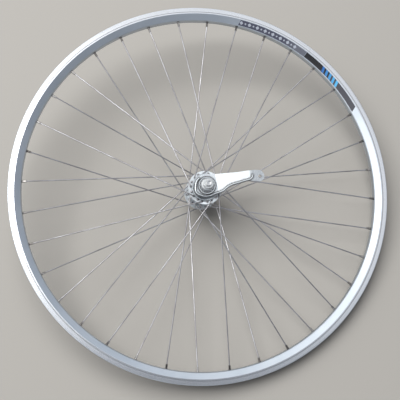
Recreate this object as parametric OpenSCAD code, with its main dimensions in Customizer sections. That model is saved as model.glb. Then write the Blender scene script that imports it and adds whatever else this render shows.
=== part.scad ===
// Rear bicycle wheel built on a three-speed hub gear with a coaster brake.
// Every module draws in hub coordinates: z runs along the axle toward the brake arm,
// x and y lie in the plane of the wheel. place() turns that so that the axle lies along Y,
// the brake arm faces -Y and +Z is up. The origin is the wheel's centre on the axle.

/* [Rim] */
// Outer diameter of the rim
rim_od = 635; // [620:1:650]
// Overall width across the brake tracks
rim_w = 24.5; // [23.5:0.5:27]
// Wall thickness of the rim extrusion
rim_wall = 1.5; // [1.3:0.1:1.7]

/* [Spokes and nipples] */
// Diameter of a spoke
spoke_d = 2.0; // [1.8:0.1:2.0]
// Length of a nipple's body below its head
nipple_len = 9; // [8:0.5:12]
// Turn of the first spoke hole from +x, in degrees
rim_turn = -2.165; // [-5:0.005:5]

/* [Hub shell] */
// Diameter of both flanges
flange_d = 56; // [54:1:60]
// Diameter of the circle of spoke holes
hole_pcd = 47.5; // [47:0.5:48.5]
// Diameter of the barrel between the flanges
barrel_d = 40.4; // [39:0.2:42]

/* [Axle and nuts] */
// Length of the axle
axle_len = 152; // [148:1:158]
// Width across flats of the axle nuts
nut_af = 15; // [14:0.5:17]

/* [Brake arm] */
// Angle of the arm above +x
arm_turn = 10.3; // [-30:0.1:60]
// Sheet thickness of the arm
arm_t = 2.6; // [2:0.1:2.8]
// Rise of the arm's sloping panel
arm_rise = 4.5; // [2:0.5:7]
// Diameter of the hole for the clip bolt
clip_d = 5.5; // [4.5:0.5:6.5]

/* [Bearings] */
// Diameter of a ball
ball_d = 3.968; // [3.9:0.002:3.97]
// Balls in the arm side bearing
balls_left = 20; // [12:1:22]
// Balls between the ball ring and the driver
balls_ring = 18; // [12:1:20]
// Balls between the driver and the drive side cone
balls_cone = 11; // [8:1:12]

/* [Hidden] */
$fn = 64;

// Rim
rim_r = rim_od / 2;
bed_r = rim_r - 20.7;           // outside of the spoke bed
seat_r = bed_r + rim_wall + 0.1; // nipple seats
rim_half = rim_w / 2;
joint_turn = 52.8;              // where the rim's ends meet
valve_turn = joint_turn + 180;
hole_offset = 1.2;              // sideways step of the rim holes

// Lacing and flanges
side_spokes = 18;               // spokes on each side
spoke_step = 360 / side_spokes;
cross_turn = 60;                // a three-cross spoke's turn between flange and rim
elbow_r = 2.6;                  // bend radius of a spoke's elbow
hole_r = hole_pcd / 2;
flange_z = 28;                  // height of each flange's middle
flange_t = 3;
flange_half = flange_t / 2;

// Axle, key and the arm cone's tail
axle_r = 5;
thread_bore = axle_r + 0.02;
cone_bore = axle_r + 0.05;
spacer_bore = axle_r + 0.1;
washer_bore = axle_r + 0.2;
locknut_af = 17;
key_w = 3;
tail_r = 9;                     // end of the arm cone, inside the brake arm
tail_flats = 14.8;              // width across its flats
brake_slope = 0.404;            // radius per height of the brake's cones
clutch_turn = 45;               // turn of the clutch arms

// Gears and pawls
gear_module = 0.65;
pressure_angle = 25;
addendum = 0.8;                 // in gear modules
dedendum = 1.046;
flank_steps = 4;                // straight runs along a tooth's flank
sun_teeth = 20;
planet_teeth = 14;
ring_teeth = sun_teeth + 2 * planet_teeth;
planet_r = gear_module * (sun_teeth + planet_teeth) / 2; // from the axle to a planet's pin
low_pawl_turn = 20;
high_pawl_turn = 10;
pawl_pivot_r = 13.3;            // from the axle to a pawl's pin

// Ball circles: [radius, height]
arm_race = [17.4, 32];
ring_race = [15.5, -30.5];      // ball ring and driver
cone_race = [10.5, -40.5];      // driver and drive side cone
ball_r = ball_d / 2;
race_r = ball_r + 0.056;        // groove radius of the races

alloy = [0.78, 0.80, 0.83];
steel = [0.66, 0.68, 0.70];
dark = [0.30, 0.31, 0.33];
bronze = [0.70, 0.55, 0.32];

// ---------- helpers ----------
function polar(radius, angle) = [radius * cos(angle), radius * sin(angle)];
// a half outline followed by its mirror image across the x axis, in reverse order
function mirrored(half) =
  concat(half, [for (i = [len(half) - 1 : -1 : 0]) [half[i][0], -half[i][1]]]);

module place() { rotate([90, 0, 0]) children(); }
module around(count, start = 0) {
  for (k = [0 : count - 1]) rotate([0, 0, start + 360 * k / count]) children();
}
// a body turned about z from an outline of [radius, height]
module turned(outline) { rotate_extrude($fn = 96) polygon(outline); }
module ring(inner, outer, bottom, top) {
  turned([[inner, bottom], [outer, bottom], [outer, top], [inner, top]]);
}
module rod(radius, bottom, top) {
  translate([0, 0, bottom]) cylinder(r = radius, h = top - bottom);
}
// a box centred on the axis
module block(length, width, bottom, top) {
  translate([-length / 2, -width / 2, bottom]) cube([length, width, top - bottom]);
}
module race(circle_at) {
  translate([0, 0, circle_at[1]]) rotate_extrude($fn = 96)
    translate([circle_at[0], 0]) circle(r = race_r, $fn = 48);
}
module sector(inner, outer, start, end, bottom, top) {
  rotate([0, 0, start]) rotate_extrude(angle = end - start, $fn = 96)
    translate([inner, bottom]) square([outer - inner, top - bottom]);
}
// a hexagon with its corners chamfered at the top
module hexagon(flats, bottom, top) {
  corner = flats / sqrt(3);
  intersection() {
    translate([0, 0, bottom]) cylinder(r = corner, h = top - bottom, $fn = 6);
    turned([[0, bottom], [corner, bottom], [corner, top - 1.1], [corner - 1.2, top], [0, top]]);
  }
}

// ---------- tooth profiles ----------
function involute(angle) = tan(angle) * 180 / PI - angle;
function base_radius(teeth) = gear_module * teeth / 2 * cos(pressure_angle);
// half the angle a tooth spans at a radius; thin is taken off its thickness at the pitch circle
function half_angle(teeth, radius, thin) =
  let (base = base_radius(teeth), slant = radius <= base ? 0 : acos(base / radius))
  90 / teeth - thin / (gear_module * teeth) * 180 / PI
    + involute(pressure_angle) - involute(slant);
// outline of a gear; below and above are the teeth's reach from the pitch circle, in modules
function gear_points(teeth, below, above, thin, shift = 0) =
  let (root = gear_module * (teeth / 2 - below), tip = gear_module * (teeth / 2 + above),
    base = base_radius(teeth), start = max(root, base),
    radii = concat(root < base ? [root] : [],
      [for (k = [0 : flank_steps]) start + (tip - start) * k / flank_steps]),
    last = len(radii) - 1)
  [for (i = [0 : teeth - 1], flank = [-1, 1], k = [0 : last])
    let (radius = radii[flank < 0 ? k : last - k])
    polar(radius, shift + i * 360 / teeth + flank * half_angle(teeth, radius, thin))];

// the hollow of a one-way ratchet ring: ramps that end in a steep face
module ratchet_hollow(bottom) {
  count = 16;
  pitch = 360 / count;
  low = 15.2;
  high = 16.5;
  translate([0, 0, bottom]) linear_extrude(8) polygon([for (i = [0 : count - 1]) each [
    polar(low, i * pitch),
    polar((low + high) / 2, (i + 0.44) * pitch),
    polar(high, (i + 0.88) * pitch)]]);
}

// ---------- wheel: rim ----------
// half outline of the rim as [radius, height], from the spoke bed round to the tyre well
module rim_outline() {
  edge = -rim_half;
  polygon(mirrored([
    [bed_r, -3.2], [bed_r + 0.4, -5.1], [bed_r + 1.3, -6.3],
    [rim_r - 10.3, edge], [rim_r - 8.3, edge], [rim_r - 8.1, edge + 0.3],
    [rim_r - 7.5, edge + 0.3], [rim_r - 7.3, edge], [rim_r - 1.1, edge],
    [rim_r - 0.3, edge + 0.4], [rim_r, edge + 1.2], [rim_r, edge + 1.6],
    [rim_r - 0.6, edge + 2.3], [rim_r - 2.2, edge + 2.4], [rim_r - 3.4, edge + 1.7],
    [rim_r - 5.8, edge + 1.7], [rim_r - 6.5, edge + 2.6], [rim_r - 6.9, edge + 4.0],
    [rim_r - 10, -5.2]]));
}
// the closed chamber between the spoke bed and the tyre well; gap shrinks it for the sleeve
module chamber(gap = 0) {
  polygon(mirrored([
    [bed_r + rim_wall + 0.2 + gap, -4.9 + gap],
    [rim_r - 10.7, -rim_half + 1.6 + gap], [rim_r - 8.1 - gap, -rim_half + 1.6 + gap],
    [rim_r - 8.3 - gap, -rim_half + 4.1], [rim_r - 11.4 - gap, -5.6]]));
}
module rim() {
  color(alloy) place() difference() {
    rotate_extrude($fn = 180) rim_outline();
    rotate_extrude($fn = 180) chamber();
    at_every_seat() {
      rod(2.25, -6, 1, $fn = 32);
      rod(3.2, 0, 3.5, $fn = 32);
      rod(4.3, 5, 14, $fn = 40);
    }
    // valve hole
    rotate([0, 0, valve_turn]) rotate([0, 90, 0]) rod(4.25, bed_r - 6, bed_r + 14, $fn = 48);
    // the seam where the rim's ends meet
    rotate([0, 0, joint_turn])
      translate([bed_r - 5, -0.06, -rim_half - 1]) cube([30, 0.12, rim_w + 2]);
  }
}
module rim_joint_sleeve() {
  color(alloy) place() rotate([0, 0, joint_turn - 3])
    rotate_extrude(angle = 6, $fn = 180) chamber(0.12);
}

// ---------- wheel: lacing ----------
// side is 1 for the arm side, -1 for the drive side; j counts the spokes of a side.
// Even spokes have their elbow outside the flange, odd ones inside it.
function rim_angle(side, j) = rim_turn + (side > 0 ? 0 : spoke_step / 2) + spoke_step * j;
function hub_angle(side, j) = rim_angle(side, j) + (j % 2 == 0 ? 1 : -1) * cross_turn;
function elbow_side(side, j) = j % 2 == 0 ? side : -side;
function foot(side, j) = polar(hole_r, hub_angle(side, j));
function to_rim(side, j) = polar(seat_r, rim_angle(side, j)) - foot(side, j);
// a spoke's travel in the wheel's plane, and along the axle toward its elbow's side
function run(side, j) = norm(to_rim(side, j));
function reach(side, j) = (hole_offset - flange_z) * side * elbow_side(side, j);
// the elbow's [run, reach] after bending by an angle
function elbow_at(angle) =
  [elbow_r * (1 - cos(angle)), flange_half + elbow_r * sin(angle)];
// the spoke's lean from the axle's direction, found by repeated substitution
function solve_lean(target, lean, rounds) =
  let (left = target - elbow_at(lean))
  rounds == 0 ? lean : solve_lean(target, atan2(left[0], left[1]), rounds - 1);
function lean(side, j) = solve_lean([run(side, j), reach(side, j)], 90, 8);

// in the flange hole, with x toward the rim hole and z toward the elbow's side
module at_foot(side, j) {
  hole = foot(side, j);
  along = to_rim(side, j);
  translate([hole[0], hole[1], side * flange_z]) rotate([0, 0, atan2(along[1], along[0])])
    if (elbow_side(side, j) > 0) children();
    else mirror([0, 0, 1]) children();
}
// at the nipples' seats in the rim, z pointing outward along the spoke
module at_every_seat() {
  for (side = [-1, 1], j = [0 : side_spokes - 1])
    at_foot(side, j) translate([run(side, j), 0, reach(side, j)])
      rotate([0, lean(side, j), 0]) children();
}
module spoke(side, j) {
  radius = spoke_d / 2;
  head_r = 1.95;
  seat = -flange_half - 0.02;
  bend = lean(side, j);
  pieces = 4;
  step = bend / pieces;
  chord = 2 * elbow_r * sin(step / 2);
  straight = norm([run(side, j), reach(side, j)] - elbow_at(bend));
  at_foot(side, j) {
    turned([[0, -flange_half - 1.4], [1.3, -flange_half - 1.3], [head_r, -flange_half - 0.7],
      [head_r, seat], [radius, seat], [radius, flange_half], [0, flange_half]]);
    // the elbow: short straight runs, rounded where they meet, then the spoke itself
    for (k = [0 : pieces])
      translate([elbow_at(k * step)[0], 0, elbow_at(k * step)[1]]) {
        sphere(r = radius * 1.03, $fn = 32);
        rotate([0, k < pieces ? (k + 0.5) * step : bend, 0])
          cylinder(r = radius, h = k < pieces ? chord : straight + 0.5, $fn = 32);
      }
  }
}
module spoke_set(side, first) {
  color(alloy) place() for (j = [first : 2 : side_spokes - 1]) spoke(side, j);
}
module spokes_arm_side_outer() { spoke_set(1, 0); }
module spokes_arm_side_inner() { spoke_set(1, 1); }
module spokes_drive_side_outer() { spoke_set(-1, 0); }
module spokes_drive_side_inner() { spoke_set(-1, 1); }

module nipples() {
  body_r = 2.0;
  square_w = 3.24;
  color(steel) place() at_every_seat() difference() {
    union() {
      turned([[0, 0], [2.9, 0], [3.0, 0.5], [2.6, 1.5], [1.6, 2.2], [0, 2.4]]);
      rod(body_r, -3.4, 0.1, $fn = 32);
      intersection() {
        rod(body_r, -nipple_len, 0, $fn = 32);
        block(square_w, square_w, -nipple_len, 0);
      }
    }
    rod(spoke_d / 2 + 0.04, -nipple_len - 1, 0.9, $fn = 32);
    block(6.4, 0.9, 1.5, 3.5); // screwdriver slot
  }
}

// ---------- wheel: hub shell ----------
module hub_shell() {
  edge = flange_d / 2;
  barrel = barrel_d / 2;
  outer = flange_z + flange_half;
  inner = flange_z - flange_half;
  color(alloy) place() difference() {
    turned([[19.6, -34], [21.3, -34], [21.6, -33.7], [21.6, -outer],
      [edge - 0.5, -outer], [edge, -outer + 0.5], [edge, -inner - 0.5], [edge - 0.5, -inner],
      [21.5, -inner], [21.2, -inner + 1.2], [barrel, -inner + 5.5],
      [barrel, inner - 5.5], [21.2, inner - 1.2], [21.5, inner],
      [edge - 0.5, inner], [edge, inner + 0.5], [edge, outer - 0.5], [edge - 0.5, outer],
      [21.6, outer], [21.6, 34.7], [21.3, 35], [20.3, 35], [20.3, 28], [18.6, 28],
      [18.6, 5], [18, 5], [18, -26.3], [19.6, -26.3]]);
    for (side = [-1, 1], j = [0 : side_spokes - 1])
      rotate([0, 0, hub_angle(side, j)])
        translate([hole_r, 0, side * flange_z - 3]) cylinder(r = 1.3, h = 6, $fn = 24);
  }
}
module brake_drum_liner() { color(steel) place() ring(17.5, 18.58, 5.05, 26.5); }
module left_ball_cup() {
  color(steel) place() difference() {
    turned([[17, 28.05], [20.28, 28.05], [20.28, 35], [19.5, 35], [19.5, 32], [17, 32]]);
    race(arm_race);
  }
}
module right_ball_ring() {
  color(steel) place() difference() {
    turned([[12, -29.2], [17.2, -29.2], [17.2, -35.2], [21.4, -35.2], [21.4, -34.05],
      [19.58, -34.05], [19.58, -26.35], [17.9, -26.35], [17.9, -20], [16.9, -20],
      [16.9, -25.9], [12, -25.9]]);
    race(ring_race);
    around(2) translate([20.0, -1.6, -36]) cube([3, 3.2, 1.4]);
  }
  // the high gear's ratchet inside the ring's sleeve
  color(steel) place() difference() {
    rod(16.95, -25.95, -20);
    ratchet_hollow(-27);
  }
}
module low_gear_ratchet() {
  color(steel) place() difference() {
    rod(17.98, -2.5, 2.5);
    ratchet_hollow(-4);
  }
}

// ---------- fixed on the axle ----------
module axle() {
  half = axle_len / 2;
  core_r = 4.8;
  end_r = 4.3;
  color(steel) place() difference() {
    turned([[0, -half], [end_r, -half], [axle_r, -half + 0.7], [axle_r, -69.6],
      [core_r, -69.55], [core_r, 69.55], [axle_r, 69.6],
      [axle_r, half - 0.7], [end_r, half], [0, half]]);
    rod(2.2, -half - 1, -15, $fn = 48); // bore for the selector rod
    block(12, key_w + 0.2, -25.4, -19);
  }
}
module sun_gear() {
  color(steel) place() difference() {
    translate([0, 0, -10.5]) linear_extrude(7)
      polygon(gear_points(sun_teeth, dedendum, addendum, 0.05));
    rod(thread_bore, -11, -3);
  }
}
module arm_cone() {
  brake_r = 9.97; // narrow end of the brake's cone
  color(steel) place() difference() {
    union() {
      turned([[cone_bore, 18.8], [brake_r, 18.8], [brake_r + 7 * brake_slope, 25.8],
        [12.8, 27], [15.9, 28.5], [15.9, 32], [17.6, 32], [17.8, 36.5], [14.6, 36.5],
        [14.6, 38], [12.6, 39.2], [12, 41], [12, 47.98], [cone_bore, 47.98]]);
      // ribs between the brake shoes
      around(4, 45) translate([8.5, -0.8, 20]) cube([6.4, 1.6, 8]);
      intersection() {
        rod(tail_r, 47.5, 50.4);
        block(tail_flats, 24, 47, 51);
      }
    }
    race(arm_race);
    rod(cone_bore, 18, 51);
  }
}
module arm_dust_cap() {
  color(dark) place() turned([[14.65, 36.52], [21.9, 36.52], [21.9, 33.2], [22.5, 33.2],
    [22.5, 36.8], [21.8, 37.5], [14.65, 37.5]]);
}

// ---------- brake arm ----------
arm_z = 46.5;        // underside of the arm at the hub
slope_start = 16.5;  // distance along the arm where its panel starts to slope
slope_len = 56;
clip_at = 87.8;      // distance of the clip hole from the axle
arm_drawn = 10.3;    // angle of the clip hole above +x in the two tables below

// outline of the arm, [x, y]
arm_outline = [
  [-20.9, -6], [-20, -11], [-16.5, -15.3], [-12, -17.4], [-7.5, -18.8], [-2, -19.6],
  [6.5, -18], [13.8, -15], [21.7, -12.3], [28.3, -9.6], [33.3, -5.1], [38.9, -1.3],
  [45.4, 1.5], [53.1, 3.6], [62.9, 6.7], [69.2, 8.1], [75.1, 8.1], [80.1, 7.9],
  [85.1, 6.9], [89.6, 8.5], [93.1, 12.3], [93.7, 17.3], [91.6, 22.2], [87.6, 25.6],
  [79.1, 26.1], [72.1, 25.4], [59.3, 23.7], [49.5, 22.2], [39.7, 21.3], [29.8, 20.4],
  [20, 19.5], [12, 18.9], [4, 18.2], [-4, 17.6], [-10.5, 15.6], [-16, 11],
  [-19.3, 4.5], [-20.8, -2]];
// middle line of the arm's pressed bead, [x, y]
arm_bead = [
  [-12.6, 11.6], [-16.4, 7.4], [-18.3, 1], [-18.8, -5.5], [-17.6, -10.8], [-14.5, -14.1],
  [-11.2, -15.6], [-7.2, -16.9], [-2.3, -17.6], [5.7, -16.1], [12.7, -13.1],
  [20.6, -10.4], [26.5, -8], [31.4, -3.6], [37.2, 0.3], [44, 3.2], [52, 5.3],
  [61.9, 8.4], [69.2, 10.3], [72.5, 12.4], [74, 15.8], [72.8, 19.4]];

// a point of the curve through the points, at share t of the way from point i to the next
function curve_point(points, i, t, closed) =
  let (count = len(points),
    pick = function(k) closed ? points[(k + count) % count] : points[max(0, min(count - 1, k))],
    before = pick(i - 1), from = pick(i), to = pick(i + 1), after = pick(i + 2))
  0.5 * (2 * from + (to - before) * t
    + (2 * before - 5 * from + 4 * to - after) * t * t
    + (3 * from - before - 3 * to + after) * t * t * t);
// an open curve leaves out its last point
function smooth(points, steps, closed = true) =
  [for (i = [0 : len(points) - (closed ? 1 : 2)], k = [0 : steps - 1])
    curve_point(points, i, k / steps, closed)];
// a table point turned so that the arm lies along +x
function in_arm(point) =
  [point[0] * cos(arm_drawn) + point[1] * sin(arm_drawn),
   point[1] * cos(arm_drawn) - point[0] * sin(arm_drawn)];
// height of the arm's upper face at a distance along it
function arm_top(along) =
  arm_z + arm_t + arm_rise * max(0, min(1, (along - slope_start) / slope_len));

// a round bead along points of [x, y, z]
module bead(points, radius) {
  for (i = [0 : len(points) - 1]) translate(points[i]) {
    sphere(r = radius * 1.03, $fn = 32);
    if (i < len(points) - 1)
      let (step = points[i + 1] - points[i])
        rotate([0, acos(step[2] / norm(step)), atan2(step[1], step[0])])
          cylinder(r = radius, h = norm(step), $fn = 32);
  }
}
// the arm's sheet seen from its edge, as a wide slab
module arm_slab() {
  slope_end = slope_start + slope_len;
  high = arm_z + arm_rise;
  translate([0, 40, 0]) rotate([90, 0, 0]) linear_extrude(80)
    polygon([[-30, arm_z], [slope_start, arm_z], [slope_end, high], [110, high],
      [110, high + arm_t], [slope_end, high + arm_t],
      [slope_start, arm_z + arm_t], [-30, arm_z + arm_t]]);
}
module brake_arm() {
  boss_top = arm_z + arm_t + 1.5;
  color(alloy) place() difference() {
    rotate([0, 0, arm_turn]) difference() {
      union() {
        intersection() {
          translate([0, 0, 40]) linear_extrude(25)
            polygon([for (point = smooth(arm_outline, 3)) in_arm(point)]);
          arm_slab();
        }
        bead([for (point = smooth(arm_bead, 2, false))
          let (at = in_arm(point)) [at[0], at[1], arm_top(at[0]) - 0.05]], 1.5);
        // raised boss around the axle, hollow underneath
        turned([[0, arm_z + 1], [14.3, arm_z + 1], [14.3, boss_top - 0.6],
          [13.7, boss_top], [0, boss_top]]);
      }
      turned([[0, arm_z - 1], [13.5, arm_z - 1], [13.5, arm_z], [12.2, arm_z + 1.5],
        [0, arm_z + 1.5]]);
      translate([clip_at, 0, arm_z]) cylinder(r = clip_d / 2, h = 20, $fn = 40);
    }
    // the hole that fits the arm cone's flats
    intersection() {
      rod(tail_r + 0.05, arm_z - 1, arm_z + 8);
      block(tail_flats + 0.1, 24, arm_z - 1, arm_z + 8);
    }
  }
}

// ---------- nuts, washers and the drive side cone ----------
module arm_toothed_washer() {
  count = 14;
  color(steel) place() difference() {
    translate([0, 0, 50.65]) linear_extrude(1.1)
      polygon([for (i = [0 : 2 * count - 1]) polar(i % 2 == 0 ? 11.6 : 10.4, i * 180 / count)]);
    rod(washer_bore, 50, 53);
  }
}
module locknut(bottom) {
  difference() {
    hexagon(locknut_af, bottom, 58);
    rod(thread_bore, 51, 59);
  }
}
module arm_locknut() { color(steel) place() locknut(51.8); }
module drive_locknut() { color(steel) place() mirror([0, 0, 1]) locknut(52.65); }
module axle_washer() { ring(washer_bore, 10, 58.05, 59.7); }
module left_axle_washer() { color(steel) place() axle_washer(); }
module right_axle_washer() { color(steel) place() mirror([0, 0, 1]) axle_washer(); }
module axle_nut() {
  bottom = 59.75;
  difference() {
    union() {
      hexagon(nut_af, bottom, 69.5);
      turned([[0, bottom], [9.7, bottom], [9.7, 61.2], [8.2, 62.4], [0, 62.4]]);
    }
    rod(thread_bore, 59, 70);
  }
}
module left_axle_nut() { color(steel) place() rotate([0, 0, 12]) axle_nut(); }
module right_axle_nut() { color(steel) place() mirror([0, 0, 1]) axle_nut(); }
module drive_cone() {
  color(steel) place() difference() {
    turned([[cone_bore, -34.25], [7.3, -34.25], [7.6, -34.6], [7.6, -38.6], [8.9, -39.4],
      [9.0, -42], [10.6, -42], [10.9, -42.4], [10.9, -46.6], [10.5, -47], [cone_bore, -47]]);
    race(cone_race);
    // spanner flats
    around(2) translate([9.2, -6, -48]) cube([3, 12, 2.6]);
  }
}
module cone_lock_washer() { color(dark) place() ring(spacer_bore, 9.8, -48.2, -47.05); }
module cone_spacer() { color(alloy) place() ring(spacer_bore, 8.4, -52.6, -48.25); }

// ---------- driver and gear selection ----------
module driver() {
  color(dark) place() difference() {
    turned([[9.4, -16.3], [11.6, -16.3], [11.6, -29.2], [14.2, -29.6], [14.2, -32.2],
      [16, -32.2], [16, -35.4], [16.6, -35.4], [16.6, -39.5], [19.4, -39.5], [19.4, -41],
      [17.2, -41], [17.2, -43.6], [16.5, -43.6], [16.5, -44.7], [17.2, -44.7],
      [16.9, -45.4], [12, -45.4], [12, -38.9], [8.2, -38.9], [8.2, -35.5], [9.4, -35.5]]);
    race(ring_race);
    race(cone_race);
    // slots for the clutch arms
    around(4, clutch_turn) translate([8, -2, -23.5]) cube([5, 4, 8]);
    // notches in the outer end
    around(3, 30) translate([15.2, -2.75, -46]) cube([3, 5.5, 5]);
  }
}
module driver_dust_cap() {
  color(dark) place() turned([[16.62, -36.6], [20.2, -36.6], [21, -35.9], [21, -35.62],
    [16.62, -35.62]]);
}
module clutch() {
  bottom = -18;
  top = -14.2;
  color(steel) place() rotate([0, 0, clutch_turn]) difference() {
    union() {
      rod(9.2, bottom, top);
      intersection() {
        rod(12.9, bottom, top);
        for (turn = [0, 90]) rotate([0, 0, turn]) block(28, 3.7, -19, -13);
      }
    }
    rod(5.3, -19, -13);
  }
}
module thrust_ring() {
  color(steel) place() difference() {
    ring(5.3, 8.9, -20.8, -18.2);
    block(19, key_w + 0.04, -21, -19.08);
  }
}
module axle_key() {
  color(steel) place() difference() {
    block(17, key_w, -20.8, -19.1);
    rod(1.25, -22, -18);
  }
}
module selector_rod() {
  end = -axle_len / 2 + 1;
  color(steel) place()
    turned([[0, end], [1.9, end], [1.9, -20.95], [1.2, -20.95], [1.2, -19.2], [0, -19.2]]);
}
// a coil whose turns lie closer together toward its ends
module clutch_spring() {
  coil_r = 6.6;
  wire_r = 0.45;
  turns = 7.5;
  bottom = -33.75;
  top = -21.35;
  steps = 150; // along the coil
  sides = 7;   // around the wire
  function ease(t) = 0.55 + 0.45 * min(1, turns * t * 0.9, turns * (1 - t) * 0.9);
  function climb(t) = t < 0.5 ? t * ease(t) : 1 - (1 - t) * ease(t);
  points = [for (i = [0 : steps], k = [0 : sides - 1])
    let (t = i / steps, turn = 360 * turns * t, around_wire = 360 * k / sides,
      radius = coil_r + wire_r * cos(around_wire))
    [radius * cos(turn), radius * sin(turn),
      bottom + (top - bottom) * climb(t) + wire_r * sin(around_wire)]];
  faces = concat([[for (k = [0 : sides - 1]) k]],
    [for (i = [0 : steps - 1], k = [0 : sides - 1])
      [i * sides + k, (i + 1) * sides + k, (i + 1) * sides + (k + 1) % sides]],
    [for (i = [0 : steps - 1], k = [0 : sides - 1])
      [i * sides + k, (i + 1) * sides + (k + 1) % sides, i * sides + (k + 1) % sides]],
    [[for (k = [sides - 1 : -1 : 0]) steps * sides + k]]);
  color(steel) place() polyhedron(points, faces);
}

// ---------- planet gears ----------
module planet_carrier() {
  color(steel) place() difference() {
    union() {
      ring(7.4, 13.5, -13, -11);
      around(4, 45) translate([11.3, 0, -12]) cylinder(r = 2.1, h = 10);
      ring(washer_bore, 14.9, -3, 3);
      ring(washer_bore, 8.2, 2.5, 17.3);
    }
    around(4) translate([planet_r, 0, -14]) cylinder(r = 1.51, h = 12.3, $fn = 32);
    // pockets and pin holes for the low gear's pawls
    around(2, low_pawl_turn) {
      sector(11.6, 15.4, -8, 27, -1.55, 1.55);
      translate([pawl_pivot_r, 0, -4]) cylinder(r = 0.71, h = 8, $fn = 24);
    }
  }
}
module planet_pins() {
  color(steel) place() around(4)
    translate([planet_r, 0, -15.8]) cylinder(r = 1.5, h = 14.05, $fn = 32);
}
module planet_gear(k) {
  color(bronze) place() rotate([0, 0, 90 * k]) translate([planet_r, 0, -10.3]) difference() {
    linear_extrude(6.6)
      polygon(gear_points(planet_teeth, dedendum, addendum, 0.06, 180 / planet_teeth));
    translate([0, 0, -1]) cylinder(r = 1.55, h = 9, $fn = 32);
  }
}
module planet_gear_1() { planet_gear(0); }
module planet_gear_2() { planet_gear(1); }
module planet_gear_3() { planet_gear(2); }
module planet_gear_4() { planet_gear(3); }
module ring_gear() {
  color(steel) place() difference() {
    union() {
      turned([[14.6, -3.2], [17.3, -3.2], [17.6, -3.5], [17.6, -19.6], [14.9, -19.8],
        [14.9, -25.6], [11.9, -25.6], [11.9, -22.4], [13.4, -22.4], [13.4, -18],
        [14.6, -18]]);
      around(4) sector(11.9, 13.6, -12, 12, -22.5, -18.3);
    }
    // the spaces between the ring's teeth
    translate([0, 0, -10.6]) linear_extrude(9)
      polygon(gear_points(ring_teeth, addendum, dedendum, -0.06, 180 / ring_teeth));
    // pockets and pin holes for the high gear's pawls
    around(2, high_pawl_turn) {
      sector(11, 15.6, -7, 27, -25.0, -23.1);
      translate([pawl_pivot_r, 0, -27]) cylinder(r = 0.61, h = 5, $fn = 24);
    }
  }
}

// ---------- pawls ----------
// a curved pawl with its pivot at one end
module pawl(inner, outer, pin_hole, bottom, top) {
  eye_r = min(pawl_pivot_r - inner, outer - pawl_pivot_r) + 0.02;
  height = top - bottom;
  difference() {
    union() {
      sector(inner, outer, 0, 22, bottom, top);
      translate([pawl_pivot_r, 0, bottom]) cylinder(r = eye_r, h = height, $fn = 32);
    }
    translate([pawl_pivot_r, 0, bottom - 1]) cylinder(r = pin_hole, h = height + 2, $fn = 24);
  }
}
module pawl_pins(turn, radius, bottom, height) {
  color(steel) place() around(2, turn)
    translate([pawl_pivot_r, 0, bottom]) cylinder(r = radius, h = height, $fn = 24);
}
module low_pawl(turn) {
  color(steel) place() rotate([0, 0, turn]) pawl(12.0, 14.6, 0.73, -1.45, 1.45);
}
module high_pawl(turn) {
  color(steel) place() rotate([0, 0, turn]) pawl(12.25, 14.4, 0.63, -24.95, -23.15);
}
module low_pawl_1() { low_pawl(low_pawl_turn); }
module low_pawl_2() { low_pawl(low_pawl_turn + 180); }
module low_pawl_pins() { pawl_pins(low_pawl_turn, 0.7, -2.9, 5.8); }
module high_pawl_1() { high_pawl(high_pawl_turn); }
module high_pawl_2() { high_pawl(high_pawl_turn + 180); }
module high_pawl_pins() { pawl_pins(high_pawl_turn, 0.6, -25.55, 3.0); }

// ---------- coaster brake ----------
module brake_cone() {
  rim = 12.8;    // wide end
  groove = 11.9; // floor of the drag spring's groove
  bore = 8.3;
  color(steel) place() turned([[bore, 3.6], [rim, 3.6], [rim, 4.1], [groove, 4.1],
    [groove, 5.3], [rim, 5.3], [rim, 5.8], [rim - 7 * brake_slope, 12.8], [bore, 12.8]]);
}
module brake_drag_spring() {
  color(steel) place() translate([0, 0, 4.7]) rotate([0, 0, 30])
    rotate_extrude(angle = 330, $fn = 96) translate([12.45, 0]) circle(r = 0.5, $fn = 24);
}
module brake_shoe(k) {
  color(bronze) place() rotate([0, 0, 90 * k - 40]) difference() {
    rotate_extrude(angle = 80, $fn = 96)
      polygon([[12.24, 7.8], [16.9, 7.8], [16.9, 23.8], [12.24, 23.8], [10.3, 19], [10.3, 12.6]]);
    // grooves that carry grease
    for (turn = [20, 40, 60]) rotate([0, 0, turn]) translate([16.4, -0.5, 7]) cube([2, 1, 18]);
  }
}
module brake_shoe_1() { brake_shoe(0); }
module brake_shoe_2() { brake_shoe(1); }
module brake_shoe_3() { brake_shoe(2); }
module brake_shoe_4() { brake_shoe(3); }

// ---------- ball bearings ----------
module ball_set(circle_at, count) {
  color(steel) place() around(count)
    translate([circle_at[0], 0, circle_at[1]]) sphere(r = ball_r, $fn = 24);
}
module cage(circle_at, count, inner, outer, bottom, top) {
  color(bronze) place() difference() {
    ring(inner, outer, bottom, top);
    around(count)
      translate([circle_at[0], 0, circle_at[1]]) sphere(r = ball_r + 0.08, $fn = 32);
  }
}
module left_ball_cage() { cage(arm_race, balls_left, 18.05, 18.85, 32.9, 35); }
module left_balls() { ball_set(arm_race, balls_left); }
module ring_ball_cage() { cage(ring_race, balls_ring, 16.2, 17.0, -33.8, -31.4); }
module ring_balls() { ball_set(ring_race, balls_ring); }
module cone_ball_cage() { cage(cone_race, balls_cone, 11.1, 11.8, -43.8, -41.4); }
module cone_balls() { ball_set(cone_race, balls_cone); }

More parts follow.
